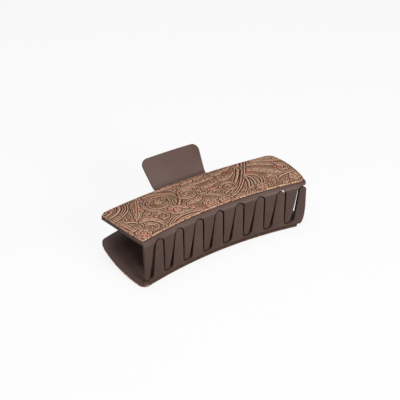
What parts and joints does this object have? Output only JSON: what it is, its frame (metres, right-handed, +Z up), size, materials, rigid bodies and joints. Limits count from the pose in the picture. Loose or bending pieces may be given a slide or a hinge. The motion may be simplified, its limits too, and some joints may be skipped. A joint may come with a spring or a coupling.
{
  "type": "hair_clip",
  "caption": "Leather-faced claw hair clip with interlocking fingers, squeeze levers at the back and a sprung hinge, shown closed and lying on one jaw",
  "frame": {"origin": "middle of the closed clip's bounding box from above, on the surface that it lies on", "axes": "+X along the clip, to the right when looking at its fingers; +Y from the fingers at the front to the levers at the back; +Z up"},
  "size_m": [0.114, 0.0636, 0.0398],
  "materials": {
    "moulded_plastic": "satin taupe-brown moulding",
    "tooled_leather": "embossed, antiqued tan with raw cut edges",
    "steel": "plain drawn wire"
  },
  "bodies": {
    "lower": {"lower_jaw": "moulded_plastic", "lower_leather": "tooled_leather", "hinge_pin": "steel", "spring": "steel"},
    "upper": {"upper_jaw": "moulded_plastic", "upper_leather": "tooled_leather"}
  },
  "joints": [
    {"name": "jaw_hinge", "type": "hinge", "parent": "lower", "child": "upper", "pos_m": [0, 0.00592, 0.0182], "axis": [-1, 0, 0], "range_deg": [0, 45], "stiffness_Nm_per_rad": 0.15, "springref_deg": -57.3, "deforming": ["spring"]}
  ]
}
